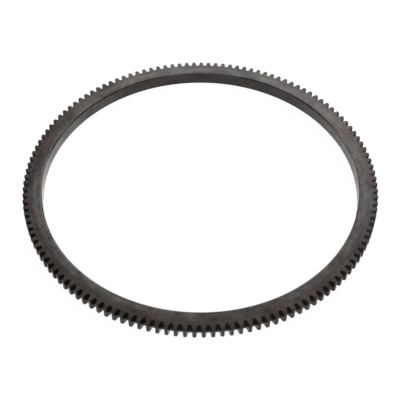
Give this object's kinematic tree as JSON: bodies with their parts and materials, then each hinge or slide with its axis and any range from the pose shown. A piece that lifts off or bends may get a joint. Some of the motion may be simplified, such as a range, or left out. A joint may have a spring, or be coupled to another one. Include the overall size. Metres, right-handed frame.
{
  "type": "flywheel ring gear",
  "caption": "Flat steel ring with straight spur teeth round its outside and a plain bore with a lead-in chamfer at one end, shrunk on to a flywheel so that a starter can turn it.",
  "frame": {"origin": "centre of the lower face, on the ring's axis", "axes": "+Z along the ring's axis, up from the lower face; +X through the middle of a tooth gap"},
  "size_m": [0.405, 0.405, 0.0154],
  "materials": {
    "steel": "dark oiled steel with brown and purple heat tint, satin"
  },
  "bodies": {
    "root": {"ring_gear": "steel"}
  },
  "joints": []
}
